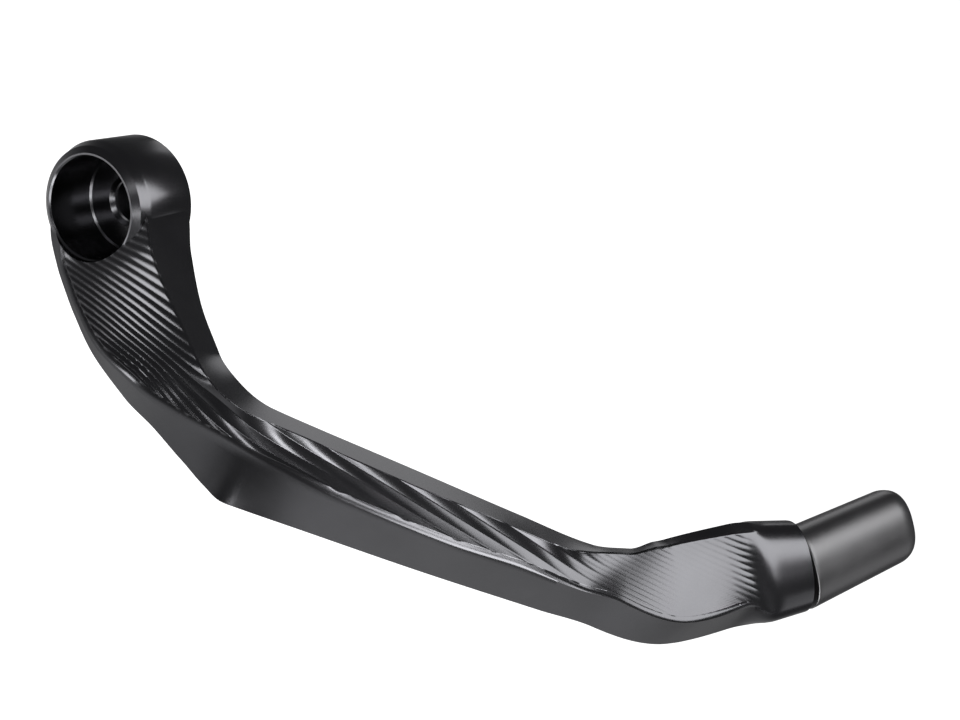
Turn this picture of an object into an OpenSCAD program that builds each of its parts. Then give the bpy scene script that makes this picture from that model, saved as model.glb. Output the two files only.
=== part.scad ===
// Clutch lever guard: a milled arm that bolts to the bar end and sweeps inboard
// in front of the lever, with a separate end tip held by a hidden screw.
// Millimetres. The origin is on the axis of the bar-end bore, at its mouth.
// +X runs out of the mouth (outboard), +Y forward along the arm, +Z up.

/* [Bar-end ring] */
// Outside diameter of the ring
ring_d = 25; // [24.5:0.5:27]
// Length of the ring along its axis
ring_len = 15; // [14:0.5:16]
// Diameter of the counterbore that the bar-end bolt head sits in
bore_d = 19.5; // [18:0.5:20]
// Depth of the counterbore
bore_depth = 11.5; // [10:0.5:12]
// Tapping diameter of the threaded hole in the ring's floor
tap_d = 8.5; // [6.8:0.1:8.5]
// Diameter of the chamfer at both ends of the threaded hole
tap_chamfer_d = 10; // [9.5:0.5:12]
// Depth of the long chamfer round the ring's outer front edge
rim_chamfer = 2.8; // [1:0.1:3]

/* [Arm] */
// Tilt of the guard's own plane against the ring's axis
guard_tilt = 22.5; // [18:0.5:25]
// Turn of the arm, seen from above, against the ring's axis
guard_toe = 12; // [8:0.5:14]
// Offset of the arm's path inboard of the bore's mouth
path_u = 4.5; // [3.5:0.5:5.5]
// Distance forward from the ring to the first corner of the path
first_leg = 46; // [44:0.5:50]
// Turn of the path at the first corner
first_turn = 55; // [50:1:58]
// Radius of the path round the first corner
first_radius = 24; // [20:1:26]
// Distance from the first corner to the second
second_leg = 94; // [88:1:100]
// Turn of the path at the second corner
second_turn = 35; // [30:1:38]
// Radius of the path round the second corner
second_radius = 20; // [16:1:24]
// Distance from the second corner to the end of the arm
third_leg = 37.5; // [36:0.5:42]

/* [End tip] */
// Width of the tip
tip_w = 17.2; // [16.8:0.2:17.6]
// Width of the arm where its collar starts
collar_w = 21.4; // [20.6:0.2:21.8]
// Width of the arm's collar at the groove
collar_end_w = 19; // [18.4:0.2:19.6]
// Height of the arm's end and of the tip
tip_h = 11.6; // [10:0.2:13]
// Length of the tip
tip_len = 31.5; // [29:0.5:36]
// Roll of the arm's end and of the tip about their length, outer side down
tip_roll = 24; // [0:1:30]
// Turn of the tip towards the rider, against the arm's last stretch
tip_turn = 6.5; // [0:0.5:8]
// Width of the open groove between arm and tip
seam_gap = 0.8; // [0.4:0.1:1.2]
// Diameter of the spigot on which the tip is located
spigot_d = 8; // [7:0.5:8.5]
// Length of the spigot
spigot_len = 9; // [6:0.5:12]
// Tapping diameter of the hole for the tip screw
screw_tap_d = 4.2; // [3.3:0.1:4.5]

/* [Hidden] */
$fn = 64;
over = 0.5;
black = [0.16, 0.16, 0.17];
satin = [0.3, 0.3, 0.31];
steel = [0.55, 0.55, 0.57];

// The tip's end rounding, and the M5 socket screw that holds it
tip_round = 4;
screw_d = 5;
screw_len = 28;
head_d = 8.5;
head_len = 5;
head_sink = 1;
socket_d = 4.6;
socket_depth = 2.6;
tap_behind = 4;

// Path lengths at which the straight stretches and the bends end
bend_1 = first_radius * tan(first_turn / 2);
bend_2 = second_radius * tan(second_turn / 2);
s_1 = first_leg - bend_1;
s_2 = s_1 + first_radius * first_turn * PI / 180;
s_3 = s_2 + second_leg - bend_1 - bend_2;
s_4 = s_3 + second_radius * second_turn * PI / 180;
s_end = s_4 + third_leg - bend_2;

// Edge lines that the arm's section follows: [path length, outboard, up].
// The inner top edge, at the back of the matte strip
inner_edge = [
    [-8, -10.5, -2.5], [2, -14, 0.2], [12, -12, -0.6], [23, -10.2, -0.6], [33, -9.8, 0.2], [44, -8.8, 2.4],
    [60, -7.7, 2.5],
    [85, -6.9, 2.5], [108, -6.1, 2.5], [124, -5.8, 2.6], [132, -7.8, 3.2], [139.6, -9.5, 4.6],
    [163.3, -8.3, 7.9]
];
// The crest between the matte strip and the scalloped face
crest_edge = [
    [-8, -2, 6], [0, -2.6, 5.5], [6, -3.3, 4.6], [12, -2.3, 4.3], [20, -2.3, 4.1], [33, -3.3, 4],
    [44, -2.8, 4.4], [60, -1.6, 5], [85, 1.9, 5.7], [102, 2.6, 6], [112, 1.4, 5.9], [121, -1.8, 5.2],
    [130, -5.5, 5], [139.6, -8, 5.9], [163.6, -6.1, 8.1]
];
// The ridge between the scalloped face and the lower facet
ridge_edge = [
    [-8, 6.2, -9.5], [4, 8.4, -13], [9, 8.8, -12.4], [14, 9.1, -11.6], [24, 8.9, -9],
    [33, 7, -4.6], [41, 3.4, -2.6], [50, 2, -0.6],
    [60, 3.6, 1.2], [72, 5.6, 2], [95, 6.5, 2], [110, 5.6, 2], [124, 3.6, 2.2], [132, 3.8, 2.8],
    [145.6, 7.4, 2.7], [166.2, 6.9, 1.3]
];
// The lower outer edge
lower_edge = [
    [-8, 6.4, -10.5], [-3, 7.8, -13.6], [4, 8.6, -14.2], [9, 9, -13.6], [15, 9.2, -12.9], [24, 8.9, -11.6],
    [33, 6.6, -10.8], [40, 4.1, -10.3], [47, 4.5, -9.8], [52, 6.5, -9.2], [54.5, 7.8, -9], [57, 7.9, -9],
    [70, 7.5, -9], [95, 6.7, -9], [120, 5.5, -8.8], [132, 5.2, -8], [145.7, 8.5, -6.6], [166.6, 8.9, -6.4]
];
// The outer edge of the underside
belly_edge = [
    [-8, 5.4, -11.5], [4, 7.3, -15], [15, 8, -14], [33, 5.4, -12], [40, 2.6, -11.4], [47, 2.6, -10.8],
    [54, 6, -10], [95, 5.4, -10], [132, 3.8, -9], [145, 6.2, -9], [165, 6, -9.2]
];
// The inner edge of the underside
heel_edge = [
    [-8, -3.5, -17], [4, -4.5, -17.5], [14, -5.7, -16.2], [24, -6.6, -13.8], [33, -7.4, -12.2],
    [44, -8.6, -10.6], [60, -7.7, -10], [108, -6.1, -10], [124, -5.8, -9.6], [140, -9, -6.9], [165, -8, -3.5]
];
// How far the scalloped face is hollowed between crest and ridge
hollow = [[-8, 0], [24, 0.2], [44, 1.2], [60, 1.6], [95, 1.4], [115, 0.9], [130, 0.2], [165, 0]];
// How far the section has turned into the oval of the arm's end
roundness = [[-8, 0], [157, 0], [160, 0.12], [165, 0.88], [168, 1], [200, 1]];

// A smooth value between the rows of a line, with its first column as the place
function tangent(line, i, c) =
    (line[min(i + 1, len(line) - 1)][c] - line[max(i - 1, 0)][c])
    / (line[min(i + 1, len(line) - 1)][0] - line[max(i - 1, 0)][0]);
function row_before(line, s, i = 0) =
    i >= len(line) - 2 || line[i + 1][0] > s ? i : row_before(line, s, i + 1);
function hermite(a, b, ta, tb, w, t) =
    a * (1 + 2 * t) * (1 - t) * (1 - t) + b * t * t * (3 - 2 * t)
    + w * (ta * t * (1 - t) * (1 - t) - tb * t * t * (1 - t));
function column(line, s, c) =
    let (i = row_before(line, s), w = line[i + 1][0] - line[i][0], t = max(0, min(1, (s - line[i][0]) / w)))
    hermite(line[i][c], line[i + 1][c], tangent(line, i, c), tangent(line, i + 1, c), w, t);
function edge(line, s) = [column(line, s, 1), column(line, s, 2)];

// The path in the guard's plane: [place u, place v, heading]
function turned(heading) = [cos(heading), sin(heading)];
corner_1 = [-path_u, first_leg];
corner_2 = corner_1 + second_leg * turned(90 + first_turn);
heading_3 = 90 + first_turn + second_turn;
function on_arc(corner, heading, turn, radius, s) =
    let (start = corner - radius * tan(turn / 2) * turned(heading),
         centre = start + radius * turned(heading + 90),
         swept = s / radius * 180 / PI)
    concat(centre + radius * turned(heading - 90 + swept), [heading + swept]);
function path_at(s) =
    s < s_1 ? [-path_u, s, 90]
    : s < s_2 ? on_arc(corner_1, 90, first_turn, first_radius, s - s_1)
    : s < s_3 ? concat(corner_2 + (s - s_3 - bend_2) * turned(90 + first_turn), [90 + first_turn])
    : s < s_4 ? on_arc(corner_2, 90 + first_turn, second_turn, second_radius, s - s_3)
    : concat(corner_2 + (s - s_4 + bend_2) * turned(heading_3), [heading_3]);

// Points between a and b, hollowed by a depth, without b itself
function stretch(a, b, count, depth = 0) =
    let (side = [b[1] - a[1], a[0] - b[0]] / max(norm(b - a), 0.01))
    [for (i = [0:count - 1]) let (t = i / count) a + (b - a) * t + side * depth * 4 * t * (1 - t)];
function rolled(p) =
    [p[0] * cos(tip_roll) + p[1] * sin(tip_roll), p[1] * cos(tip_roll) - p[0] * sin(tip_roll)];
function oval(w, h, angles) =
    [for (a = angles) let (c = cos(a), q = sin(a))
        rolled([w / 2 * sign(c) * pow(abs(c), 0.85), h / 2 * sign(q) * pow(abs(q), 0.85)])];
function fan(a, b, count) = [for (i = [0:count - 1]) a + (b - a) * i / count];

strip_steps = 3;
face_steps = 10;
facet_steps = 4;
under_steps = 6;
wall_steps = 5;
section_points = strip_steps + face_steps + facet_steps + 2 + under_steps + wall_steps;
// Where the same points lie round the oval
section_angles = concat(fan(158, 140, strip_steps), fan(140, 36, face_steps), fan(36, -8, facet_steps),
                        fan(-8, -40, 2), fan(-40, -140, under_steps), fan(-140, -202, wall_steps));
tip_angles = fan(158, -202, 48);
// Path length at which the collar starts, and the middle of the tip's section
collar_start = 163;
tip_centre = [2.5, -0.9];

function milled_section(s) =
    let (inner = edge(inner_edge, s), crest = edge(crest_edge, s), ridge = edge(ridge_edge, s),
         lower = edge(lower_edge, s), belly = edge(belly_edge, s), heel = edge(heel_edge, s))
    concat(stretch(inner, crest, strip_steps), stretch(crest, ridge, face_steps, column(hollow, s, 1)),
           stretch(ridge, lower, facet_steps), stretch(lower, belly, 2), stretch(belly, heel, under_steps),
           stretch(heel, inner, wall_steps, -0.4));
function arm_section(s) =
    let (milled = milled_section(s), r = min(1, max(0, column(roundness, s, 1))),
         taper = max(0, min(1, (s - collar_start) / (s_end - collar_start))),
         w = collar_w + (collar_end_w - collar_w) * taper,
         round_one = oval(w, tip_h, section_angles), centre = tip_centre + rolled([(tip_w - w) / 2, 0]))
    [for (i = [0:section_points - 1]) milled[i] * (1 - r) + (round_one[i] + centre) * r];

// A section point placed on the path, in the guard's frame
function placed(p, at) = [at[0] + p[0] * cos(at[2] - 90), at[1] + p[0] * sin(at[2] - 90), p[1]];

// A closed skin through rings of points, each with the same count
module skin(rings) {
    count = len(rings[0]);
    last = len(rings) - 1;
    points = [for (ring = rings) each ring];
    sides = [
        for (k = [0:last - 1]) for (i = [0:count - 1])
            let (j = (i + 1) % count, a = k * count, b = a + count)
            each [[a + i, b + i, a + j], [a + j, b + i, b + j]]
    ];
    ends = [[for (i = [0:count - 1]) i], [for (i = [count - 1:-1:0]) last * count + i]];
    polyhedron(points, concat(sides, ends), convexity = 6);
}

arm_start = -7.5;
arm_rings = 70;
// Where the bore's mouth lies in the guard's own frame
mouth_place = [-0.9, -1.4, -2.8];

// Children in the guard's own frame, with the path in its XY plane
module in_guard_frame() {
    rotate([0, 0, -guard_toe]) rotate([0, guard_tilt, 0]) translate(-mouth_place) children();
}

module arm_body() {
    skin([for (k = [0:arm_rings])
        let (s = arm_start + (s_end - arm_start) * k / arm_rings, at = path_at(s))
        [for (p = arm_section(s)) placed(p, at)]]);
}

// Children stand at the arm's end, with +Z along the path's last stretch
module at_arm_end() {
    at = path_at(s_end);
    place = placed(tip_centre, at);
    in_guard_frame() translate(place) rotate([0, 0, at[2] + tip_turn]) rotate([0, 90, 0]) children();
}

module ring_blank() {
    rotate([0, 90, 0]) translate([0, 0, -ring_len]) {
        cylinder(h = ring_len - rim_chamfer, d = ring_d);
        translate([0, 0, ring_len - rim_chamfer])
            cylinder(h = rim_chamfer, d1 = ring_d, d2 = bore_d + 1.2);
    }
}

module ring_bores() {
    chamfer = (tap_chamfer_d - tap_d) / 2;
    rotate([0, 90, 0]) {
        translate([0, 0, -bore_depth]) cylinder(h = bore_depth + 8, d = bore_d);
        translate([0, 0, -ring_len - over]) cylinder(h = ring_len, d = tap_d);
        translate([0, 0, -bore_depth - chamfer]) cylinder(h = chamfer, d1 = tap_d, d2 = tap_chamfer_d);
        translate([0, 0, -ring_len - 4]) cylinder(h = 4 + chamfer, d1 = tap_d + 8, d2 = tap_d);
    }
}

module guard_arm() {
    color(black) difference() {
        union() {
            ring_blank();
            in_guard_frame() arm_body();
            at_arm_end() translate([0, 0, -1]) cylinder(h = spigot_len + 1, d = spigot_d);
            at_arm_end() translate([0, 0, -1]) linear_extrude(seam_gap + 1)
                polygon([for (p = oval(tip_w - 2.4, tip_h - 2.4, tip_angles)) [-p[1], -p[0]]]);
        }
        ring_bores();
        at_arm_end() translate([0, 0, -tap_behind])
            cylinder(h = tap_behind + spigot_len + over, d = screw_tap_d);
    }
}

// The tip's width factor along its length, with a rounded end
function tip_size(z) =
    let (left = max(0, tip_len - z), r = tip_round)
    (1 - 0.08 * z / tip_len) * (left >= r ? 1 : 1 - 0.28 * (1 - sqrt(1 - pow((r - left) / r, 2))));
function tip_ring(z) =
    [for (p = oval(tip_w, tip_h, tip_angles)) [-p[1] * tip_size(z), -p[0] * tip_size(z), z]];

module end_tip() {
    places = concat([for (k = [0:7]) seam_gap + (tip_len - tip_round - seam_gap) * k / 7],
                    [for (a = [15:15:90]) tip_len - tip_round + tip_round * sin(a)]);
    color(satin) at_arm_end() difference() {
        skin([for (z = places) tip_ring(z)]);
        translate([0, 0, -over]) cylinder(h = spigot_len + over + 0.4, d = spigot_d + 0.1);
        cylinder(h = tip_len, d = screw_d + 0.5);
        translate([0, 0, tip_len - head_len - head_sink])
            cylinder(h = head_len + head_sink + over, d = head_d + 0.5);
    }
}

module tip_screw() {
    seat = tip_len - head_len - head_sink;
    color(steel) at_arm_end() difference() {
        union() {
            translate([0, 0, seat]) cylinder(h = head_len, d = head_d);
            translate([0, 0, seat - screw_len]) cylinder(h = screw_len + over, d = screw_d);
        }
        translate([0, 0, seat + head_len - socket_depth])
            cylinder(h = socket_depth + over, d = socket_d, $fn = 6);
    }
}

guard_arm();
end_tip();
tip_screw();
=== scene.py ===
"""Looks of a milled lever guard for a motorbike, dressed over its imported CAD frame.

The arm is one milled piece with a bar-end ring. Its faces carry the passes of a ball-nose cutter, so the
arm's skin is laid out again here at a fine pitch, on the same edge lines as the CAD solid.
"""
from __future__ import annotations

import logging
import math
from dataclasses import dataclass, field
from enum import Enum

import bpy
import numpy as np
from mathutils import Matrix, Vector

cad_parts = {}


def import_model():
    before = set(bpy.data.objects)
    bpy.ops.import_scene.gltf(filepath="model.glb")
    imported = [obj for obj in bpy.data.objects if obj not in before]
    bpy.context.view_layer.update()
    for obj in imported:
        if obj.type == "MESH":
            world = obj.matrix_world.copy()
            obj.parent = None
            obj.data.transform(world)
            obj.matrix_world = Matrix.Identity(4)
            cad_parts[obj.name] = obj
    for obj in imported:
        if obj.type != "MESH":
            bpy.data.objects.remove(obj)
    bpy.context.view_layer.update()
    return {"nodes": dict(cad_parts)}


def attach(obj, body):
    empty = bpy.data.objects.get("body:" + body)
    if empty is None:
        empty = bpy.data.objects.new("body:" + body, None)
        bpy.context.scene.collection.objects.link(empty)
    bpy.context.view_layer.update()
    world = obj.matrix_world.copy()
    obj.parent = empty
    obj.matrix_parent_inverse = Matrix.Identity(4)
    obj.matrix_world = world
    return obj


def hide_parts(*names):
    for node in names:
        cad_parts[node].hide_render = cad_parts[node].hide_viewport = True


LOG = logging.getLogger("lever_guard")
MM = 0.001


class Zone(Enum):
    """Surface zones of the arm, in the order of its material slots."""

    MILLED = 0
    STRIP = 1
    FACET = 2
    LAND = 3
    COLLAR = 4
    RING = 5
    BORE = 6
    CRESCENT = 7


@dataclass(frozen=True)
class EdgeLine:
    """A line that the section follows: rows of path length and values, joined smoothly."""

    rows: tuple[tuple[float, ...], ...]

    def at(self, s: np.ndarray) -> np.ndarray:
        """Reads the line.

        Args:
            s: Path lengths in millimetres.

        Returns:
            One row of values for each path length.
        """
        table = np.array(self.rows, dtype=float)
        x, y = table[:, 0], table[:, 1:]
        count = len(x)
        low = np.maximum(np.arange(count) - 1, 0)
        high = np.minimum(np.arange(count) + 1, count - 1)
        slope = (y[high] - y[low]) / (x[high] - x[low])[:, None]
        i = np.clip(np.searchsorted(x, s, side="right") - 1, 0, count - 2)
        w = (x[i + 1] - x[i])[:, None]
        t = np.clip((s - x[i])[:, None] / w, 0.0, 1.0)
        return (y[i] * (1 + 2 * t) * (1 - t) ** 2 + y[i + 1] * t * t * (3 - 2 * t)
                + w * (slope[i] * t * (1 - t) ** 2 - slope[i + 1] * t * t * (1 - t)))


@dataclass(frozen=True)
class GuardFrame:
    """The guard's own frame (outboard u, forward v, up n) inside the part's frame."""

    toe: float = 12.0
    tilt: float = 22.5
    mouth: tuple[float, float, float] = (-0.9, -1.4, -2.8)

    def turn(self) -> np.ndarray:
        """Works out how the guard's frame is turned.

        Returns:
            The rotation from the guard's frame to the part's frame.
        """
        a, b = math.radians(-self.toe), math.radians(self.tilt)
        about_z = np.array([[math.cos(a), -math.sin(a), 0], [math.sin(a), math.cos(a), 0], [0, 0, 1]])
        about_y = np.array([[math.cos(b), 0, math.sin(b)], [0, 1, 0], [-math.sin(b), 0, math.cos(b)]])
        return about_z @ about_y

    def place(self, points: np.ndarray) -> np.ndarray:
        """Returns points of the guard's frame (millimetres) in the part's frame (metres)."""
        return (points - np.array(self.mouth)) @ self.turn().T * MM

    def direction(self, vector: tuple[float, float, float]) -> Vector:
        """Returns a direction of the guard's frame in the part's frame."""
        return Vector(self.turn() @ np.array(vector)).normalized()


@dataclass(frozen=True)
class ArmPath:
    """The arm's path in the guard's plane: three straight stretches and two bends."""

    path_u: float = 4.5
    first_leg: float = 46.0
    first_turn: float = 55.0
    first_radius: float = 24.0
    second_leg: float = 94.0
    second_turn: float = 35.0
    second_radius: float = 20.0
    third_leg: float = 37.5

    def stations(self) -> tuple[float, float, float, float, float]:
        """Works out where stretches and bends end.

        Returns:
            The path lengths of their ends, in order.
        """
        back_1 = self.first_radius * math.tan(math.radians(self.first_turn / 2))
        back_2 = self.second_radius * math.tan(math.radians(self.second_turn / 2))
        s_1 = self.first_leg - back_1
        s_2 = s_1 + self.first_radius * math.radians(self.first_turn)
        s_3 = s_2 + self.second_leg - back_1 - back_2
        s_4 = s_3 + self.second_radius * math.radians(self.second_turn)
        return s_1, s_2, s_3, s_4, s_4 + self.third_leg - back_2

    def at(self, s: float) -> tuple[np.ndarray, float]:
        """Finds a place on the path.

        Args:
            s: Path length in millimetres.

        Returns:
            The place in the plane and the heading in degrees.
        """
        s_1, s_2, s_3, s_4, _ = self.stations()
        mid = 90.0 + self.first_turn
        last = mid + self.second_turn
        corner_1 = np.array([-self.path_u, self.first_leg])
        corner_2 = corner_1 + self.second_leg * heading(mid)
        back_2 = self.second_radius * math.tan(math.radians(self.second_turn / 2))
        if s < s_1:
            return np.array([-self.path_u, s]), 90.0
        if s < s_2:
            return arc(corner_1, 90.0, self.first_turn, self.first_radius, s - s_1)
        if s < s_3:
            return corner_2 + (s - s_3 - back_2) * heading(mid), mid
        if s < s_4:
            return arc(corner_2, mid, self.second_turn, self.second_radius, s - s_3)
        return corner_2 + (s - s_4 + back_2) * heading(last), last


def heading(degrees: float) -> np.ndarray:
    """Returns the unit vector of a heading in the guard's plane."""
    return np.array([math.cos(math.radians(degrees)), math.sin(math.radians(degrees))])


def arc(corner: np.ndarray, start: float, turn: float, radius: float, s: float) -> tuple[np.ndarray, float]:
    """Walks round a bend.

    Args:
        corner: Where the two stretches would meet.
        start: Heading before the bend, in degrees.
        turn: Angle of the bend, in degrees.
        radius: Radius of the bend.
        s: Length walked from the bend's start.

    Returns:
        The place and the heading there.
    """
    begin = corner - radius * math.tan(math.radians(turn / 2)) * heading(start)
    centre = begin + radius * heading(start + 90)
    swept = math.degrees(s / radius)
    return centre + radius * heading(start - 90 + swept), start + swept


def ramp(value: np.ndarray | float, low: float, high: float) -> np.ndarray:
    """Returns a smooth step from 0 at low to 1 at high."""
    t = np.clip((np.asarray(value, dtype=float) - low) / (high - low), 0.0, 1.0)
    return t * t * (3 - 2 * t)


def oval(width: float, height: float, angles: np.ndarray, roll: float) -> np.ndarray:
    """Lays out the rolled oval of the collar and the tip.

    Args:
        width: Width in the guard's plane.
        height: Height across it.
        angles: Angles of the points, in degrees.
        roll: Roll with the outer side down, in degrees.

    Returns:
        Points as outboard and up values.
    """
    c, q = np.cos(np.radians(angles)), np.sin(np.radians(angles))
    x = width / 2 * np.sign(c) * np.abs(c) ** 0.85
    y = height / 2 * np.sign(q) * np.abs(q) ** 0.85
    cr, sr = math.cos(math.radians(roll)), math.sin(math.radians(roll))
    return np.stack([x * cr + y * sr, y * cr - x * sr], axis=1)


# Making meshes


def only(*pieces: bpy.types.Object) -> None:
    """Selects nothing but the pieces, and makes the first one active.

    Args:
        *pieces: The pieces to select.
    """
    bpy.ops.object.select_all(action="DESELECT")
    for piece in pieces:
        piece.select_set(True)
    bpy.context.view_layer.objects.active = pieces[0]


def apply_all(piece: bpy.types.Object) -> None:
    """Applies each modifier of a piece in its order.

    Args:
        piece: The piece.
    """
    only(piece)
    for modifier in list(piece.modifiers):
        bpy.ops.object.modifier_apply(modifier=modifier.name)


def wrapped_grid(name: str, rings: np.ndarray, zones: np.ndarray) -> bpy.types.Object:
    """Wraps a grid round rings of points and closes both ends.

    Args:
        name: Name of the piece.
        rings: Points in metres, ring by ring.
        zones: Slot index of each ring's each column of faces.

    Returns:
        The closed piece.
    """
    ring_count, around = rings.shape[:2]
    bpy.ops.object.select_all(action="DESELECT")
    bpy.ops.mesh.primitive_grid_add(x_subdivisions=around, y_subdivisions=ring_count - 1, size=2.0)
    piece = bpy.context.object
    piece.name = piece.data.name = name
    mesh = piece.data
    flat = np.empty(len(mesh.vertices) * 3)
    mesh.vertices.foreach_get("co", flat)
    flat = flat.reshape(-1, 3)
    column = np.rint((flat[:, 0] + 1) / 2 * around).astype(int)
    row = np.rint((flat[:, 1] + 1) / 2 * (ring_count - 1)).astype(int)
    mesh.vertices.foreach_set("co", rings[row, column % around].reshape(-1))
    for polygon in mesh.polygons:
        cells = [(row[v], column[v]) for v in polygon.vertices]
        polygon.material_index = int(zones[min(c[0] for c in cells), min(c[1] for c in cells)])
    mesh.update()
    bpy.ops.object.mode_set(mode="EDIT")
    bpy.ops.mesh.select_all(action="SELECT")
    bpy.ops.mesh.remove_doubles(threshold=1e-7)
    bpy.ops.mesh.select_all(action="DESELECT")
    bpy.ops.mesh.select_non_manifold(extend=False)
    bpy.ops.mesh.edge_face_add()
    bpy.ops.mesh.select_all(action="SELECT")
    bpy.ops.mesh.normals_make_consistent(inside=False)
    bpy.ops.object.mode_set(mode="OBJECT")
    return piece


def turned_solid(name: str, profile: list[tuple[float, float]], slot: int, sides: int = 128) -> bpy.types.Object:
    """Makes a solid of revolution about the ring's axis by extruding and scaling a disc.

    Args:
        name: Name of the piece.
        profile: Places along +X and radii, in millimetres, from one end to the other.
        slot: Material slot of its faces.
        sides: Sides of the disc.

    Returns:
        The closed piece.
    """
    bpy.ops.object.select_all(action="DESELECT")
    x, radius = profile[0]
    bpy.ops.mesh.primitive_circle_add(vertices=sides, radius=radius * MM, fill_type="NGON",
                                      location=(x * MM, 0, 0), rotation=(0, math.pi / 2, 0))
    piece = bpy.context.object
    piece.name = piece.data.name = name
    bpy.ops.object.transform_apply(location=True, rotation=True, scale=True)
    bpy.ops.object.mode_set(mode="EDIT")
    bpy.ops.mesh.select_all(action="SELECT")
    for nx, nr in profile[1:]:
        bpy.ops.mesh.extrude_region_move(TRANSFORM_OT_translate={"value": ((nx - x) * MM, 0, 0)})
        factor = nr / radius
        bpy.ops.transform.resize(value=(1, factor, factor), center_override=(nx * MM, 0, 0))
        x, radius = nx, nr
    bpy.ops.mesh.select_all(action="SELECT")
    bpy.ops.mesh.normals_make_consistent(inside=False)
    bpy.ops.object.mode_set(mode="OBJECT")
    for polygon in piece.data.polygons:
        polygon.material_index = slot
    return piece


def combine(piece: bpy.types.Object, other: bpy.types.Object, operation: str) -> None:
    """Unites a piece with another solid or cuts it away, and deletes the other.

    Args:
        piece: The piece that stays.
        other: The solid that is added or cut away.
        operation: UNION or DIFFERENCE.
    """
    modifier = piece.modifiers.new("join", "BOOLEAN")
    modifier.operation = operation
    modifier.solver = "MANIFOLD"
    modifier.object = other
    apply_all(piece)
    bpy.data.objects.remove(other, do_unlink=True)


# Finishes


class Wire:
    """Short hand for building a node tree."""

    def __init__(self, tree: bpy.types.NodeTree) -> None:
        """Keeps the tree and empties it."""
        self.tree = tree
        tree.nodes.clear()

    def node(self, kind: str, **settings: object) -> bpy.types.Node:
        """Adds a node.

        Args:
            kind: Node type, without its ShaderNode prefix where it has one.
            **settings: Properties to set on the node.

        Returns:
            The node.
        """
        made = self.tree.nodes.new(kind if kind.startswith("Node") else "ShaderNode" + kind)
        for key, value in settings.items():
            setattr(made, key, value)
        return made

    def link(self, source: bpy.types.NodeSocket, target: bpy.types.NodeSocket) -> None:
        """Joins two sockets."""
        self.tree.links.new(source, target)

    def math(self, operation: str, a: object, b: object = 0.0) -> bpy.types.NodeSocket:
        """Adds a Math node.

        Args:
            operation: Its operation.
            a: First value or socket.
            b: Second value or socket.

        Returns:
            Its output.
        """
        made = self.node("Math", operation=operation)
        for index, value in enumerate((a, b)):
            if isinstance(value, bpy.types.NodeSocket):
                self.link(value, made.inputs[index])
            else:
                made.inputs[index].default_value = value
        return made.outputs[0]

    def vector(self, operation: str, a: object, b: object = (0.0, 0.0, 0.0), out: str = "Vector") -> object:
        """Adds a Vector Math node.

        Args:
            operation: Its operation.
            a: First vector or socket.
            b: Second vector or socket.
            out: Name of the output that is wanted.

        Returns:
            That output.
        """
        made = self.node("VectorMath", operation=operation)
        for index, value in enumerate((a, b)):
            if isinstance(value, bpy.types.NodeSocket):
                self.link(value, made.inputs[index])
            else:
                made.inputs[index].default_value = value
        return made.outputs[out]


def new_group(name: str, inputs: list[tuple[str, str, object]], outputs: list[tuple[str, str]]) -> bpy.types.NodeTree:
    """Makes an empty shader group.

    Args:
        name: Name of the group.
        inputs: Name, socket type and default of each input.
        outputs: Name and socket type of each output.

    Returns:
        The group.
    """
    tree = bpy.data.node_groups.new(name, "ShaderNodeTree")
    for label, kind, default in inputs:
        socket = tree.interface.new_socket(label, in_out="INPUT", socket_type=kind)
        socket.default_value = default
    for label, kind in outputs:
        tree.interface.new_socket(label, in_out="OUTPUT", socket_type=kind)
    return tree


@dataclass(frozen=True)
class ToolLines:
    """Parallel lines that a cutter leaves, a fixed pitch apart along one axis."""

    name: str = "tool_lines"
    waver_scale: float = 140.0
    waver_detail: float = 2.0

    def group(self) -> bpy.types.NodeTree:
        """Builds the group on its first call.

        Returns:
            The group.
        """
        if self.name in bpy.data.node_groups:
            return bpy.data.node_groups[self.name]
        tree = new_group(self.name, [("Across", "NodeSocketVector", (0.0, 0.0, 1.0)),
                                     ("Per metre", "NodeSocketFloat", 2000.0),
                                     ("Waver", "NodeSocketFloat", 0.3)],
                         [("Height", "NodeSocketFloat")])
        wire = Wire(tree)
        inner, outer = wire.node("NodeGroupInput"), wire.node("NodeGroupOutput")
        place = wire.node("TexCoord").outputs["Object"]
        noise = wire.node("TexNoise", noise_dimensions="3D")
        noise.inputs["Scale"].default_value = self.waver_scale
        noise.inputs["Detail"].default_value = self.waver_detail
        wire.link(place, noise.inputs["Vector"])
        along = wire.vector("DOT_PRODUCT", place, inner.outputs["Across"], "Value")
        turns = wire.math("MULTIPLY", along, inner.outputs["Per metre"])
        waver = wire.math("MULTIPLY", noise.outputs["Fac"], inner.outputs["Waver"])
        phase = wire.math("MULTIPLY", wire.math("ADD", turns, waver), 2 * math.pi)
        wire.link(wire.math("SINE", phase), outer.inputs["Height"])
        return tree


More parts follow.
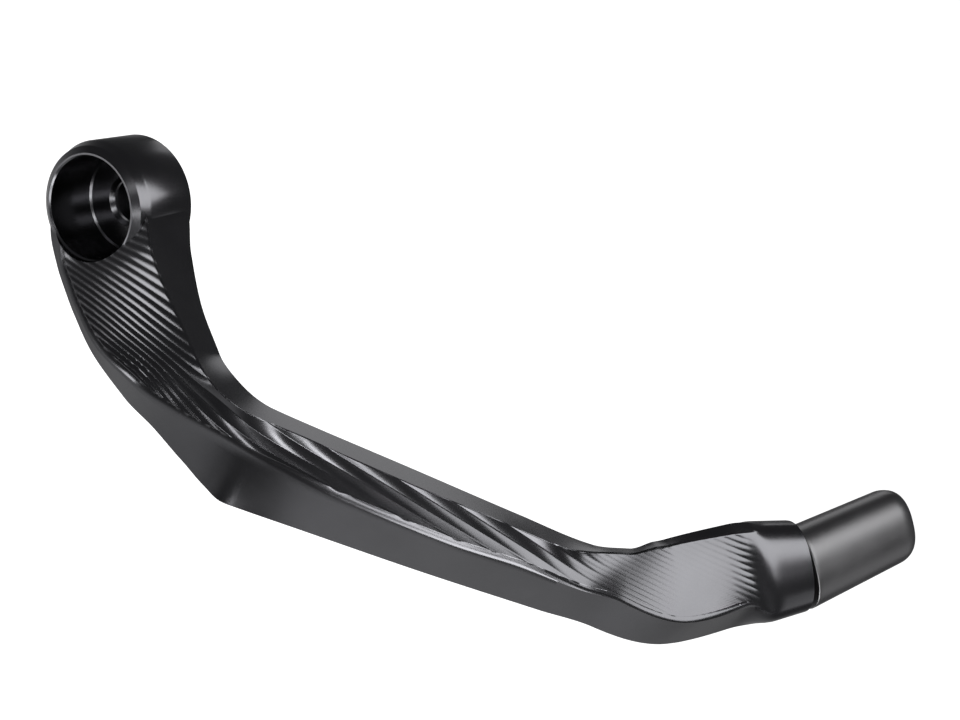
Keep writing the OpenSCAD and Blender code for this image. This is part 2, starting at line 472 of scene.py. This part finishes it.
@dataclass(frozen=True)
class AnodisedGrain:
    """Fine grain of an anodised surface, with faint handling marks."""

    name: str = "anodised_grain"
    grain_detail: float = 3.0
    marks_scale: float = 90.0
    marks_detail: float = 5.0

    def group(self) -> bpy.types.NodeTree:
        """Builds the group on its first call.

        Returns:
            The group.
        """
        if self.name in bpy.data.node_groups:
            return bpy.data.node_groups[self.name]
        tree = new_group(self.name, [("Scale", "NodeSocketFloat", 6000.0)],
                         [("Grain", "NodeSocketFloat"), ("Marks", "NodeSocketFloat")])
        wire = Wire(tree)
        inner, outer = wire.node("NodeGroupInput"), wire.node("NodeGroupOutput")
        place = wire.node("TexCoord").outputs["Object"]
        fine = wire.node("TexNoise", noise_dimensions="3D")
        fine.inputs["Detail"].default_value = self.grain_detail
        wire.link(inner.outputs["Scale"], fine.inputs["Scale"])
        wire.link(place, fine.inputs["Vector"])
        wide = wire.node("TexNoise", noise_dimensions="3D")
        wide.inputs["Scale"].default_value = self.marks_scale
        wide.inputs["Detail"].default_value = self.marks_detail
        wire.link(place, wide.inputs["Vector"])
        wire.link(fine.outputs["Fac"], outer.inputs["Grain"])
        wire.link(wide.outputs["Fac"], outer.inputs["Marks"])
        return tree


@dataclass(frozen=True)
class MetalFinish:
    """A metal finish with grain, wandering gloss and, where it was cut, tool lines."""

    name: str
    colour: tuple[float, float, float]
    rough: float
    grain_depth: float = 0.000004
    grain_scale: float = 6000.0
    lines_across: tuple[float, float, float] | None = None
    lines_per_metre: float = 2000.0
    lines_depth: float = 0.00001
    lines_waver: float = 0.3
    turned_per_metre: float = 0.0
    tint_spread: float = 0.18
    gloss_spread: float = 0.12
    marks_range: tuple[float, float] = (0.25, 0.75)

    def material(self) -> bpy.types.Material:
        """Builds the material on its first call.

        Returns:
            The material.
        """
        if self.name in bpy.data.materials:
            return bpy.data.materials[self.name]
        made = bpy.data.materials.new(self.name)
        made.use_nodes = True
        made.diffuse_color = (*self.colour, 1.0)
        wire = Wire(made.node_tree)
        out, metal = wire.node("OutputMaterial"), wire.node("BsdfPrincipled")
        wire.link(metal.outputs[0], out.inputs["Surface"])
        metal.inputs["Metallic"].default_value = 1.0
        grain = wire.node("Group", node_tree=AnodisedGrain().group())
        grain.inputs["Scale"].default_value = self.grain_scale
        tint = wire.node("MixRGB", blend_type="MIX")
        tint.inputs["Color1"].default_value = (*[c * (1 - self.tint_spread) for c in self.colour], 1.0)
        tint.inputs["Color2"].default_value = (*[c * (1 + self.tint_spread) for c in self.colour], 1.0)
        wire.link(grain.outputs["Marks"], tint.inputs["Fac"])
        wire.link(tint.outputs[0], metal.inputs["Base Color"])
        gloss = wire.node("MapRange")
        gloss.inputs["From Min"].default_value, gloss.inputs["From Max"].default_value = self.marks_range
        gloss.inputs["To Min"].default_value = self.rough * (1 - self.gloss_spread)
        gloss.inputs["To Max"].default_value = self.rough * (1 + self.gloss_spread)
        wire.link(grain.outputs["Marks"], gloss.inputs["Value"])
        wire.link(gloss.outputs["Result"], metal.inputs["Roughness"])
        bump = self.bump(wire, grain.outputs["Grain"], self.grain_depth, None)
        if self.lines_across is not None:
            lines = wire.node("Group", node_tree=ToolLines().group())
            lines.inputs["Across"].default_value = self.lines_across
            lines.inputs["Per metre"].default_value = self.lines_per_metre
            lines.inputs["Waver"].default_value = self.lines_waver
            bump = self.bump(wire, lines.outputs["Height"], self.lines_depth, bump)
        if self.turned_per_metre:
            place = wire.node("TexCoord").outputs["Object"]
            off_axis = wire.vector("LENGTH", wire.vector("MULTIPLY", place, (0.0, 1.0, 1.0)), out="Value")
            turns = wire.math("MULTIPLY", off_axis, self.turned_per_metre * 2 * math.pi)
            bump = self.bump(wire, wire.math("SINE", turns), self.lines_depth, bump)
        wire.link(bump, metal.inputs["Normal"])
        return made

    @staticmethod
    def bump(wire: Wire, height: bpy.types.NodeSocket, depth: float,
             before: bpy.types.NodeSocket | None) -> bpy.types.NodeSocket:
        """Adds a Bump node.

        Args:
            wire: The tree.
            height: Height from 0 or -1 to 1.
            depth: Depth in metres.
            before: Normal of the bump before it, if any.

        Returns:
            The bumped normal.
        """
        made = wire.node("Bump")
        made.inputs["Strength"].default_value = 1.0
        made.inputs["Distance"].default_value = depth
        wire.link(height, made.inputs["Height"])
        if before is not None:
            wire.link(before, made.inputs["Normal"])
        return made.outputs["Normal"]


FRAME = GuardFrame()
UP = tuple(FRAME.direction((0, 0, 1)))
BLACK = (0.085, 0.085, 0.09)
FINISHES: dict[Zone, MetalFinish] = {
    Zone.MILLED: MetalFinish("arm_ball_milled", BLACK, 0.22, 0.000002, 5000.0),
    Zone.STRIP: MetalFinish("arm_blasted_strip", BLACK, 0.46, 0.000006, 7000.0),
    # The facet's lighter grey than the black anodising is painted light, standing in for the low lamp's reflection;
    # its tool lines are real.
    Zone.FACET: MetalFinish("arm_fly_cut_facet_painted_light", (0.14, 0.14, 0.145), 0.42, 0.000004, 7000.0,
                            UP, 2000.0, 0.00004, 0.25),
    Zone.LAND: MetalFinish("arm_ridge_land", BLACK, 0.26, 0.000002, 5000.0),
    # The collar's near-black colour is painted shade, darker than the black anodising of the same piece; its gloss is
    # real.
    Zone.COLLAR: MetalFinish("arm_collar_gloss_painted_shade", (0.016, 0.016, 0.017), 0.14, 0.000001, 5000.0),
    Zone.RING: MetalFinish("ring_turned_side", BLACK, 0.42, 0.000004, 6500.0),
    Zone.BORE: MetalFinish("bore_turned", (0.07, 0.07, 0.074), 0.3, 0.000002, 6000.0,
                           turned_per_metre=2600.0, lines_depth=0.000012),
    # The milled band's pale grey is a painted highlight on the black anodising; its tool lines are real.
    Zone.CRESCENT: MetalFinish("ring_milled_band_painted_highlight", (0.3, 0.3, 0.31), 0.34, 0.000002, 5000.0,
                               tuple(FRAME.direction((0.2, 1.0, 0.1))), 620.0, 0.00016, 0.2),
}
TIP_FINISH = MetalFinish("tip_satin", (0.125, 0.124, 0.127), 0.38, 0.000005, 7000.0)
SCREW_FINISH = MetalFinish("screw_steel", (0.42, 0.41, 0.4), 0.3, 0.000003, 4000.0)


def dress(piece: bpy.types.Object) -> None:
    """Gives a piece the arm's material slots.

    Args:
        piece: The piece.
    """
    piece.data.materials.clear()
    for zone in Zone:
        piece.data.materials.append(FINISHES[zone].material())


# Sub-assemblies


@dataclass(frozen=True)
class CutterPasses:
    """Passes of the ball-nose cutter, side by side along the forward direction."""

    pitch: float = 2.6
    slopes: tuple[tuple[float, float], ...] = (
        (-140, -0.5), (-100, -0.6), (-85, -0.85), (-60, -1.0), (-24, -1.02), (-16, -1.05), (-10, -1.6),
        (-5, -2.4), (2, -3.3), (10, -3.6))
    depth: EdgeLine = EdgeLine(((-8, 0.12), (28, 0.12), (46, 0.13), (62, 0.14), (90, 0.12), (112, 0.11),
                                (126, 0.075), (165, 0.075)))
    fine_from: float = 118.0
    fine_to: float = 132.0
    slope_samples: int = 3000

    def phase(self, u: np.ndarray, v: np.ndarray) -> np.ndarray:
        """Counts the passes at places of the guard's plane.

        Args:
            u: Outboard places.
            v: Forward places.

        Returns:
            The count of passes at each place.
        """
        table = np.array(self.slopes)
        fine = np.linspace(table[0, 0], table[-1, 0], self.slope_samples)
        slope = np.interp(fine, table[:, 0], table[:, 1])
        drop = np.concatenate([[0.0], np.cumsum((slope[1:] + slope[:-1]) / 2 * np.diff(fine))])
        return (v - np.interp(u, fine, drop)) / self.pitch

    def cut(self, s: np.ndarray, u: np.ndarray, v: np.ndarray) -> np.ndarray:
        """Finds how deep the passes cut below the face.

        Args:
            s: Path lengths.
            u: Outboard places.
            v: Forward places.

        Returns:
            Depths in millimetres.
        """
        count = self.phase(u, v)
        fine = ramp(s, self.fine_from, self.fine_to)
        coarse_cut = 1 - (2 * np.mod(count, 1.0) - 1) ** 2
        fine_cut = 1 - (2 * np.mod(count * 2, 1.0) - 1) ** 2
        depth = self.depth.at(s.reshape(-1))[:, 0].reshape(s.shape)
        return depth * (coarse_cut * (1 - fine) + fine_cut * fine)


@dataclass
class MilledArm:
    """The arm's skin from the ring to the spigot."""

    path: ArmPath = field(default_factory=ArmPath)
    passes: CutterPasses = field(default_factory=CutterPasses)
    inner: EdgeLine = EdgeLine((
        (-8, -10.5, -2.5), (2, -14, 0.2), (12, -12, -0.6), (23, -10.2, -0.6), (33, -9.8, 0.2), (44, -8.8, 2.4),
        (60, -7.7, 2.5), (85, -6.9, 2.5), (108, -6.1, 2.5), (124, -5.8, 2.6), (132, -7.8, 3.2),
        (139.6, -9.5, 4.6), (163.3, -8.3, 7.9)))
    crest: EdgeLine = EdgeLine((
        (-8, -2, 6), (0, -2.6, 5.5), (6, -3.3, 4.6), (12, -2.3, 4.3), (20, -2.3, 4.1), (33, -3.3, 4),
        (44, -2.9, 4.9), (54, -3.2, 5.3), (63, -3.1, 5.4), (71, -2.6, 5.5), (86, -1.9, 5.7), (104, -1.6, 5.6),
        (113, -1.3, 5.4), (119, -1.9, 5), (124, -3.4, 4.7), (130, -5.5, 4.8), (139.6, -8, 5.9), (163.6, -6.1, 8.1)))
    ridge: EdgeLine = EdgeLine((
        (-8, 6.2, -9.5), (4, 8.4, -13), (9, 8.8, -12.4), (14, 9.1, -11.6), (24, 8.9, -9), (33, 7, -4.6),
        (41, 3.2, -2.8), (50, 1.6, -0.5), (60, 3.0, 1), (72, 4.7, 2), (95, 5.5, 2.4), (110, 4.5, 2.3),
        (124, 4, 1.9), (132, 3.8, 2.8), (145.6, 7.4, 2.7), (166.2, 6.9, 1.3)))
    lower: EdgeLine = EdgeLine((
        (-8, 6.4, -10.5), (-3, 7.8, -13.6), (4, 8.6, -14.2), (9, 9, -13.6), (15, 9.2, -12.9), (24, 8.9, -11.6),
        (33, 6.6, -10.8), (40, 4.1, -10.3), (47, 4.5, -9.8), (52, 6.5, -9.2), (54.5, 7.8, -9), (57, 7.9, -9),
        (70, 7.5, -9), (95, 6.7, -9), (120, 5.5, -8.8), (132, 5.2, -8), (145.7, 8.5, -6.6), (166.6, 8.9, -6.4)))
    belly: EdgeLine = EdgeLine((
        (-8, 5.4, -11.5), (4, 7.3, -15), (15, 8, -14), (33, 5.4, -12), (40, 2.6, -11.4), (47, 2.6, -10.8),
        (54, 6, -10), (95, 5.4, -10), (132, 3.8, -9), (145, 6.2, -9), (165, 6, -9.2)))
    heel: EdgeLine = EdgeLine((
        (-8, -3.5, -17), (4, -4.5, -17.5), (14, -5.7, -16.2), (24, -6.6, -13.8), (33, -7.4, -12.2),
        (44, -8.6, -10.6), (60, -7.7, -10), (108, -6.1, -10), (124, -5.8, -9.6), (140, -9, -6.9), (165, -8, -3.5)))
    hollow: EdgeLine = EdgeLine(((-8, 0), (24, 0.2), (44, 0.5), (60, 0.5), (95, 0.5), (115, 0.4), (130, 0.1),
                                 (165, 0)))
    lift: EdgeLine = EdgeLine(((-8, 0), (14, 0), (30, 0.35), (50, 0.6), (108, 0.6), (122, 0), (165, 0)))
    roundness: EdgeLine = EdgeLine(((-8, 0), (157, 0), (160, 0.12), (165, 0.88), (168, 1), (200, 1)))
    start: float = -7.5
    collar_start: float = 163.0
    collar_w: float = 21.4
    collar_end_w: float = 19.0
    tip_w: float = 17.2
    tip_h: float = 11.6
    tip_centre: tuple[float, float] = (2.5, -0.9)
    roll: float = 24.0
    seam: float = 0.8
    spigot_r: float = 4.0
    spigot_len: float = 9.0
    plug_inset: float = 1.2
    land: float = 1.1
    land_share: float = 0.3
    land_rise: float = 0.12
    land_bulge: float = -0.1
    heel_bulge: float = -0.4
    step: float = 0.5
    step_share: float = 0.02
    step_from: tuple[float, float] = (112.0, 124.0)
    step_to: tuple[float, float] = (161.0, 165.0)
    passes_share: float = 0.03
    passes_to: tuple[float, float] = (159.0, 163.0)
    gloss_and_painted_shade_from: float = 162.5
    coarse_span: tuple[float, float] = (60.0, 156.0)
    coarse_pitch: float = 0.6
    fine_pitch: float = 0.4
    columns: tuple[tuple[Zone, int, float, float], ...] = (
        (Zone.STRIP, 6, 158, 140), (Zone.MILLED, 104, 140, 42), (Zone.LAND, 4, 42, 36), (Zone.FACET, 8, 36, -8),
        (Zone.FACET, 3, -8, -40), (Zone.RING, 8, -40, -140), (Zone.RING, 8, -140, -202))

    def angles(self) -> np.ndarray:
        """Returns where the section's columns lie round the oval."""
        return np.concatenate([np.linspace(a, b, n, endpoint=False) for _, n, a, b in self.columns])

    def section(self, s: float) -> np.ndarray:
        """Lays out the milled section.

        Args:
            s: Path length.

        Returns:
            The section's points, as outboard and up values.
        """
        one = np.array([s])
        inner, crest, ridge, lower, belly, heel = (
            line.at(one)[0] for line in (self.inner, self.crest, self.ridge, self.lower, self.belly, self.heel))
        across = ridge - crest
        reach = float(np.linalg.norm(across))
        lift = float(self.lift.at(one)[0, 0])
        land = min(self.land, reach * self.land_share)
        edge = ridge - across / reach * land + np.array([0.0, self.land_rise + lift])
        hollow = float(self.hollow.at(one)[0, 0])
        sunk = self.step * float(ramp(s, *self.step_from)) * (1 - float(ramp(s, *self.step_to)))
        bounds = [(inner, crest, 0.0), (crest, edge, hollow), (edge, ridge, self.land_bulge),
                  (ridge, lower, 0.0), (lower, belly, 0.0), (belly, heel, 0.0), (heel, inner, self.heel_bulge)]
        points = []
        for (a, b, bulge), (zone, count, _, _) in zip(bounds, self.columns):
            t = np.linspace(0, 1, count, endpoint=False)[:, None]
            side = np.array([b[1] - a[1], a[0] - b[0]]) / max(float(np.linalg.norm(b - a)), 0.01)
            row = a + (b - a) * t + side * bulge * 4 * t * (1 - t)
            if zone is Zone.MILLED:
                row = row - np.array([0.0, 1.0]) * sunk * (ramp(t, 0.0, self.step_share) * (1 - t))
            points.append(row)
        return np.concatenate(points)

    def ring_of_points(self, s: float) -> np.ndarray:
        """Lays out the section, blended into the collar's oval.

        Args:
            s: Path length.

        Returns:
            The section's points, as outboard and up values.
        """
        end = self.path.stations()[-1]
        round_off = float(np.clip(self.roundness.at(np.array([s]))[0, 0], 0, 1))
        taper = min(max((s - self.collar_start) / (end - self.collar_start), 0.0), 1.0)
        width = self.collar_w + (self.collar_end_w - self.collar_w) * taper
        roll = math.radians(self.roll)
        shift = (self.tip_w - width) / 2 * np.array([math.cos(roll), -math.sin(roll)])
        collar = oval(width, self.tip_h, self.angles(), self.roll) + np.array(self.tip_centre) + shift
        return self.section(s) * (1 - round_off) + collar * round_off

    def build(self) -> bpy.types.Object:
        """Builds the arm's closed skin.

        Returns:
            The piece.
        """
        end = self.path.stations()[-1]
        first_coarse, last_coarse = self.coarse_span
        places = np.concatenate([np.arange(self.start, first_coarse, self.fine_pitch),
                                 np.arange(first_coarse, last_coarse, self.coarse_pitch),
                                 np.arange(last_coarse, end, self.fine_pitch), [end]])
        flat = np.stack([self.ring_of_points(s) for s in places])
        spots = [self.path.at(s) for s in places]
        origin = np.stack([p for p, _ in spots])
        side = np.stack([heading(h - 90) for _, h in spots])
        plane = origin[:, None] + flat[:, :, :1] * side[:, None]
        s_grid = np.repeat(places[:, None], flat.shape[1], axis=1)
        tangent = np.roll(flat, -1, axis=1) - np.roll(flat, 1, axis=1)
        normal = np.stack([-tangent[..., 1], tangent[..., 0]], axis=2)
        normal /= np.maximum(np.linalg.norm(normal, axis=2, keepdims=True), 1e-9)
        first = self.columns[0][1]
        count = self.columns[1][1]
        t = np.zeros(flat.shape[1])
        t[first:first + count] = np.linspace(0, 1, count, endpoint=False)
        fade = ramp(t, 0.0, self.passes_share)
        window = 1 - ramp(places, *self.passes_to)
        cut = self.passes.cut(s_grid, plane[..., 0], plane[..., 1]) * fade[None] * window[:, None]
        flat = flat + normal * cut[..., None]
        plane = origin[:, None] + flat[:, :, :1] * side[:, None]
        rings = np.concatenate([plane, flat[:, :, 1:]], axis=2)
        rings = np.concatenate([rings, self.spigot()])
        zones = np.tile(np.concatenate([[zone.value] * n for zone, n, _, _ in self.columns]), (len(rings), 1))
        # From here on the faces take the collar finish, whose near-black colour is painted shade.
        zones[np.flatnonzero(places > self.gloss_and_painted_shade_from)[0]:] = Zone.COLLAR.value
        return wrapped_grid("milled_arm", FRAME.place(rings), zones)

    def spigot(self) -> np.ndarray:
        """Lays out the plug behind the groove and the spigot.

        Returns:
            Their rings of points, to follow the arm's last ring.
        """
        end = self.path.stations()[-1]
        spot, way = self.path.at(end)
        forward = np.append(heading(way), 0.0)
        centre = np.append(spot + self.tip_centre[0] * heading(way - 90), self.tip_centre[1])
        plug = oval(self.tip_w - 2 * self.plug_inset, self.tip_h - 2 * self.plug_inset, self.angles(), self.roll)
        round_one = oval(2 * self.spigot_r, 2 * self.spigot_r, self.angles(), 0.0)
        side = np.append(heading(way - 90), 0.0)
        rings = []
        for shape, along in ((plug, 0.0), (plug, self.seam), (round_one, self.seam), (round_one, self.spigot_len)):
            rings.append(centre + shape[:, :1] * side + shape[:, 1:] * np.array([0, 0, 1.0]) + forward * along)
        return np.stack(rings)


@dataclass
class BarEndRing:
    """The ring with its counterbore and threaded hole."""

    ring_r: float = 12.5
    length: float = 15.0
    rim_chamfer: float = 2.8
    bore_r: float = 9.75
    bore_depth: float = 11.5
    hole_r: float = 4.25
    hole_chamfer_r: float = 5.0
    boss: float = 2.7
    boss_r: float = 7.5
    boss_chamfer: float = 0.4
    boss_foot: float = 0.5
    edge_break: float = 0.3
    rim_round: tuple[float, float] = (0.5, 0.25)
    milled_band: float = 1.0
    band_drop: float = 0.85
    front_land: float = 0.6
    thread_pitch: float = 0.8
    thread_depth: float = 0.3
    floor_round: float = 0.35
    hairline: float = 0.001

    def blank(self) -> bpy.types.Object:
        """Builds the ring's outside and the low boss behind it.

        Returns:
            The blank.
        """
        back = -self.length
        long_round, deep_round = self.rim_round
        piece = turned_solid("ring_blank", [
            (back - self.boss, self.boss_r - self.boss_chamfer), (back - self.boss + self.boss_chamfer, self.boss_r),
            (back + 10 * self.hairline, self.boss_r), (back, self.boss_r + self.boss_foot),
            (back, self.ring_r - self.edge_break), (back + self.edge_break, self.ring_r),
            (-self.rim_chamfer - long_round, self.ring_r), (-self.rim_chamfer, self.ring_r - deep_round),
            (-self.milled_band, self.ring_r - self.band_drop), (0, self.bore_r + self.front_land)],
            Zone.RING.value, 192)
        # The milled band's faces take the pale finish, a painted highlight.
        for polygon in piece.data.polygons:
            if polygon.center.x > -self.milled_band * MM and polygon.normal.x < 0.99:
                polygon.material_index = Zone.CRESCENT.value
        return piece

    def bores(self) -> bpy.types.Object:
        """Builds the solid that is cut out of the ring: counterbore, chamfers and thread.

        Returns:
            The cutter.
        """
        back = -self.length - self.boss
        chamfer = self.hole_chamfer_r - self.hole_r
        profile = [(back - 1, self.hole_r + 1.6), (back + chamfer, self.hole_r)]
        x = back + chamfer
        while x + self.thread_pitch < -self.bore_depth - chamfer:
            profile += [(x + self.thread_pitch / 2, self.hole_r + self.thread_depth),
                        (x + self.thread_pitch, self.hole_r)]
            x += self.thread_pitch
        mouth_r = self.bore_r + self.edge_break
        profile += [(-self.bore_depth - chamfer, self.hole_r), (-self.bore_depth, self.hole_chamfer_r),
                    (-self.bore_depth + self.hairline, self.bore_r - self.floor_round),
                    (-self.bore_depth + self.floor_round, self.bore_r),
                    (-self.edge_break, self.bore_r), (0.05, mouth_r), (9, mouth_r)]
        return turned_solid("ring_bores", profile, Zone.BORE.value, 160)


@dataclass
class Guard:
    """The whole arm with its ring, as one milled piece."""

    arm: MilledArm
    ring: BarEndRing = field(default_factory=BarEndRing)
    smooth_below: float = 32.0

    def build(self) -> bpy.types.Object:
        """Builds the piece that stands for the CAD arm.

        Returns:
            The piece.
        """
        piece = self.arm.build()
        blank = self.ring.blank()
        bores = self.ring.bores()
        for solid in (piece, blank, bores):
            dress(solid)
        combine(piece, blank, "UNION")
        combine(piece, bores, "DIFFERENCE")
        only(piece)
        bpy.ops.object.shade_smooth_by_angle(angle=math.radians(self.smooth_below))
        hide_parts("guard_arm")
        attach(piece, "root")
        return piece


@dataclass
class EndTip:
    """The separate end piece, oval in section, with its screw's counterbore."""

    arm: MilledArm
    length: float = 31.5
    turn: float = 6.5
    taper: float = 0.08
    rounding: float = 4.0
    rounding_depth: float = 0.28
    head_r: float = 4.5
    head_room: float = 6.0
    around: int = 128
    smooth_below: float = 35.0
    edge_rows: tuple[tuple[float, float], ...] = ((0.0, 0.975), (0.12, 0.992), (0.3, 1.0))

    def size(self, z: float) -> float:
        """Works out how much narrower the tip is than at its seam.

        Args:
            z: Length from the arm's end.

        Returns:
            The width factor there.
        """
        left = max(0.0, self.length - z)
        body = 1 - self.taper * z / self.length
        if left >= self.rounding:
            return body
        drop = 1 - math.sqrt(1 - ((self.rounding - left) / self.rounding) ** 2)
        return body * (1 - self.rounding_depth * drop)

    def build(self) -> bpy.types.Object:
        """Builds the piece that stands for the CAD tip.

        Returns:
            The piece.
        """
        end = self.arm.path.stations()[-1]
        spot, way = self.arm.path.at(end)
        centre = np.append(spot + self.arm.tip_centre[0] * heading(way - 90), self.arm.tip_centre[1])
        forward = np.append(heading(way + self.turn), 0.0)
        side = np.append(heading(way + self.turn - 90), 0.0)
        angles = np.linspace(158, -202, self.around, endpoint=False)
        places = [(self.arm.seam + z, factor) for z, factor in self.edge_rows]
        places += [(z, 1.0) for z in np.linspace(self.arm.seam + 1.2, self.length - self.rounding, 24)]
        places += [(self.length - self.rounding + self.rounding * math.sin(math.radians(a)), 1.0)
                   for a in range(6, 91, 6)]
        rings = []
        for z, factor in places:
            shape = oval(self.arm.tip_w, self.arm.tip_h, angles, self.arm.roll) * self.size(z) * factor
            rings.append(centre + shape[:, :1] * side + shape[:, 1:] * np.array([0, 0, 1.0]) + forward * z)
        one_slot = np.zeros((len(rings), self.around), dtype=int)
        piece = wrapped_grid("satin_tip", FRAME.place(np.stack(rings)), one_slot)
        combine(piece, self.counterbore(centre, forward), "DIFFERENCE")
        piece.data.materials.clear()
        piece.data.materials.append(TIP_FINISH.material())
        only(piece)
        bpy.ops.object.shade_smooth_by_angle(angle=math.radians(self.smooth_below))
        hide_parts("end_tip")
        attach(piece, "root")
        return piece

    def counterbore(self, centre: np.ndarray, forward: np.ndarray) -> bpy.types.Object:
        """Builds the solid that is cut out of the tip's end face.

        Args:
            centre: Where the tip's axis leaves the arm.
            forward: The way that the tip points.

        Returns:
            The cutter.
        """
        middle = centre + forward * (self.length - self.head_room / 2 + 0.5)
        bpy.ops.object.select_all(action="DESELECT")
        bpy.ops.mesh.primitive_cylinder_add(vertices=96, radius=self.head_r * MM, depth=(self.head_room + 1) * MM)
        piece = bpy.context.object
        way = Vector(FRAME.turn() @ forward)
        turn = way.to_track_quat("Z", "Y").to_matrix().to_4x4()
        piece.matrix_world = Matrix.Translation(Vector(FRAME.place(middle[None])[0])) @ turn
        bpy.ops.object.transform_apply(location=True, rotation=True, scale=True)
        return piece


# Studio


@dataclass(frozen=True)
class SoftBox:
    """An area lamp, placed by the direction it is seen in from the guard's middle."""

    name: str
    towards: tuple[float, float, float]
    radiance: float
    size: tuple[float, float]
    distance: float = 0.7

    def build(self, middle: Vector) -> bpy.types.Object:
        """Builds the lamp.

        Args:
            middle: What it is aimed at.

        Returns:
            The lamp.
        """
        way = FRAME.direction(self.towards)
        data = bpy.data.lights.new(self.name, "AREA")
        data.shape = "RECTANGLE"
        data.size, data.size_y = self.size
        data.energy = self.radiance * math.pi * self.size[0] * self.size[1]
        lamp = bpy.data.objects.new(self.name, data)
        bpy.context.scene.collection.objects.link(lamp)
        lamp.location = middle + way * self.distance
        lamp.rotation_euler = way.to_track_quat("Z", "Y").to_euler()
        lamp.visible_camera = False
        return lamp


@dataclass
class Studio:
    """Camera, floor, world and lamps."""

    eye: tuple[float, float, float] = (0.29649, 0.10445, 0.24877)
    right: tuple[float, float, float] = (-0.51659, 0.48268, 0.70721)
    up: tuple[float, float, float] = (-0.1781, -0.86847, 0.46265)
    back: tuple[float, float, float] = (0.8375, 0.11304, 0.53461)
    lens: float = 78.75
    sensor: float = 36.0
    room: tuple[float, float, float] = (0.12, 0.12, 0.125)
    floor_z: float = -0.35
    floor_size: float = 6.0
    middle: tuple[float, float, float] = (-0.035, 0.07, 0.02)
    boxes: tuple[SoftBox, ...] = (
        SoftBox("box_face", (-0.56, 0.2, 0.8), 4.6, (0.48, 0.4)),
        SoftBox("box_ridge", (0.15, 0.98, 0.05), 9.0, (0.4, 0.25)),
        SoftBox("box_edge", (0.22, 0.78, 0.5), 7.0, (0.26, 0.26)),
        SoftBox("box_top", (0.42, 0.05, 0.9), 9.0, (0.14, 0.14)),
        SoftBox("box_crescent", (0.44, 0.58, 0.66), 12.0, (0.14, 0.14)),
        SoftBox("box_ring", (0.97, -0.24, -0.02), 6.0, (0.24, 0.24)),
        SoftBox("box_low", (0.09, 0.6, -0.8), 7.0, (0.6, 0.5)),
        SoftBox("box_bend", (0.6, 0.55, -0.55), 5.0, (0.35, 0.35)),
        SoftBox("box_strip", (-0.68, -0.73, -0.1), 1.2, (0.3, 0.3)),
        SoftBox("box_tip", (-0.75, 0.66, 0.05), 0.8, (0.3, 0.3)),
    )

    def build(self) -> None:
        """Builds the studio."""
        self.camera()
        self.world()
        self.floor()
        for box in self.boxes:
            box.build(Vector(self.middle))
        bpy.context.scene.view_settings.view_transform = "Standard"

    def camera(self) -> None:
        """Places the camera at the photograph's viewing angle."""
        data = bpy.data.cameras.new("camera")
        data.lens = self.lens
        data.sensor_width = self.sensor
        data.clip_start, data.clip_end = 0.01, 20.0
        camera = bpy.data.objects.new("camera", data)
        bpy.context.scene.collection.objects.link(camera)
        turn = Matrix((self.right, self.up, self.back)).transposed().to_4x4()
        camera.matrix_world = Matrix.Translation(self.eye) @ turn
        bpy.context.scene.camera = camera

    def world(self) -> None:
        """Makes the world white behind the object and dim as a light."""
        world = bpy.data.worlds.new("studio")
        world.use_nodes = True
        bpy.context.scene.world = world
        wire = Wire(world.node_tree)
        out, mix = wire.node("OutputWorld"), wire.node("MixShader")
        dim, white = wire.node("Background"), wire.node("Background")
        dim.inputs["Color"].default_value = (*self.room, 1)
        white.inputs["Color"].default_value = (1, 1, 1, 1)
        wire.link(wire.node("LightPath").outputs["Is Camera Ray"], mix.inputs[0])
        wire.link(dim.outputs[0], mix.inputs[1])
        wire.link(white.outputs[0], mix.inputs[2])
        wire.link(mix.outputs[0], out.inputs["Surface"])

    def floor(self) -> None:
        """Lays a pale floor well below the guard, which hangs as it is mounted."""
        bpy.ops.object.select_all(action="DESELECT")
        bpy.ops.mesh.primitive_plane_add(size=self.floor_size, location=(0, 0, self.floor_z))
        plane = bpy.context.object
        plane.name = "floor"
        bpy.ops.object.transform_apply(location=True, rotation=True, scale=True)
        pale = bpy.data.materials.new("pale_floor")
        pale.use_nodes = True
        wire = Wire(pale.node_tree)
        out, mix, total = wire.node("OutputMaterial"), wire.node("MixShader"), wire.node("AddShader")
        cloth, glow = wire.node("BsdfDiffuse"), wire.node("Emission")
        cloth.inputs["Color"].default_value = (0.8, 0.8, 0.8, 1)
        glow.inputs["Color"].default_value = (0.9, 0.9, 0.9, 1)
        glow.inputs["Strength"].default_value = 1.0
        wire.link(cloth.outputs[0], total.inputs[0])
        wire.link(glow.outputs[0], total.inputs[1])
        wire.link(wire.node("LightPath").outputs["Is Camera Ray"], mix.inputs[0])
        wire.link(cloth.outputs[0], mix.inputs[1])
        wire.link(total.outputs[0], mix.inputs[2])
        wire.link(mix.outputs[0], out.inputs["Surface"])
        plane.data.materials.append(pale)


def main() -> None:
    """Builds the guard round its frame."""
    logging.basicConfig(level=logging.INFO, format="%(name)s: %(message)s")
    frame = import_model()
    Studio().build()
    arm = MilledArm()
    guard = Guard(arm).build()
    LOG.info("%s: %d faces", guard.name, len(guard.data.polygons))
    tip = EndTip(arm).build()
    LOG.info("%s: %d faces", tip.name, len(tip.data.polygons))
    screw = frame["nodes"]["tip_screw"]
    screw.data.materials.clear()
    screw.data.materials.append(SCREW_FINISH.material())
    LOG.info("%s keeps its CAD mesh", screw.name)


if __name__ == "__main__":
    main()
